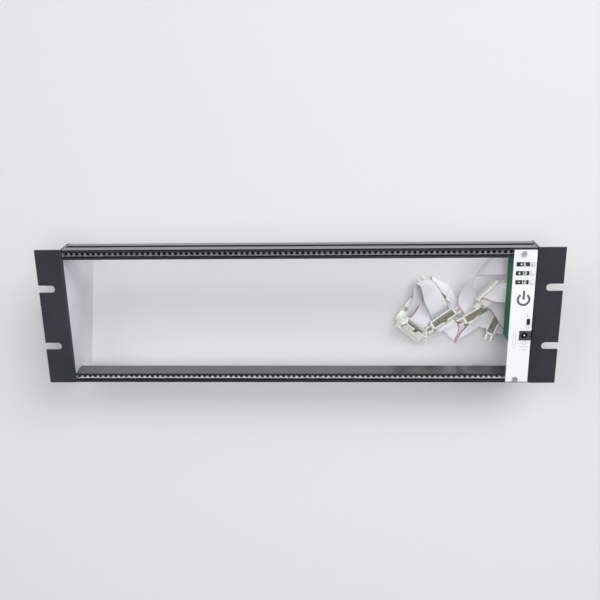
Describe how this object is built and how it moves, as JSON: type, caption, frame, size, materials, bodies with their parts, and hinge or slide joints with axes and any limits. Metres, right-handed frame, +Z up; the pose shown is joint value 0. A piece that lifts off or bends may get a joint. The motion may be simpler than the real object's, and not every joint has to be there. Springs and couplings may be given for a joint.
{
  "type": "subrack card cage",
  "caption": "Open 3U subrack card cage of two bent side brackets and slotted rails with tapped strips, holding one narrow power module and its flat bus cables.",
  "frame": {"origin": "centre of the footprint on the table, under the middle of the cage", "axes": "+X along the width to the module's side, +Y towards the cage's raised top rail, +Z up; the front plane leans back 68 degrees from upright and faces up and towards -Y"},
  "size_m": [0.4826, 0.1322, 0.1015],
  "materials": {
    "bracket_black": "satin black powder coat",
    "rail_black": "black anodised extrusion, satin",
    "strip_zinc": "bright zinc plate",
    "screw_zinc": "zinc plated, light wear",
    "panel_white": "satin white powder coat",
    "board_green": "green solder mask over glass-fibre board",
    "led_grey": "diffused pale lens",
    "jack_grey": "moulded dark grey",
    "pin_nickel": "nickel plated",
    "plastic_black": "moulded black",
    "plug_grey": "moulded grey",
    "ribbon_grey": "pale grey flat cable, one pink edge",
    "socket_cream": "moulded cream white",
    "pin_gold": "plated contact pins"
  },
  "bodies": {
    "cage": {"left_bracket": "bracket_black", "right_bracket": "bracket_black", "top_rail": "rail_black", "bottom_rail": "rail_black", "top_threaded_strip": "strip_zinc", "bottom_threaded_strip": "strip_zinc", "left_rail_screws": "screw_zinc", "right_rail_screws": "screw_zinc", "module_panel": "panel_white", "panel_screws": "screw_zinc", "power_board": "board_green", "status_led_1": "led_grey", "status_led_2": "led_grey", "status_led_3": "led_grey", "dc_jack_body": "jack_grey", "dc_jack_pin": "pin_nickel", "switch_body": "plastic_black", "board_header_a": "plastic_black", "board_header_b": "plastic_black", "cable_plug_a": "plug_grey", "cable_plug_b": "plug_grey", "plug_clamp_a": "plug_grey", "plug_clamp_b": "plug_grey", "bus_cable_a": "ribbon_grey", "bus_cable_b": "ribbon_grey", "bus_socket_1": "socket_cream", "bus_socket_2": "socket_cream", "bus_socket_3": "socket_cream", "bus_socket_4": "socket_cream", "bus_socket_5": "socket_cream", "bus_socket_6": "socket_cream", "bus_socket_7": "socket_cream", "socket_clamp_1": "socket_cream", "socket_clamp_2": "socket_cream", "socket_clamp_3": "socket_cream", "socket_clamp_4": "socket_cream", "socket_clamp_5": "socket_cream", "socket_clamp_6": "socket_cream", "socket_clamp_7": "socket_cream", "socket_pins": "pin_gold"},
    "switch_slider": {"switch_slider": "plastic_black"}
  },
  "joints": [
    {"name": "switch_slide", "type": "slide", "parent": "cage", "child": "switch_slider", "axis": [0, 0.9272, 0.3746], "range_m": [0, 0.002]}
  ]
}
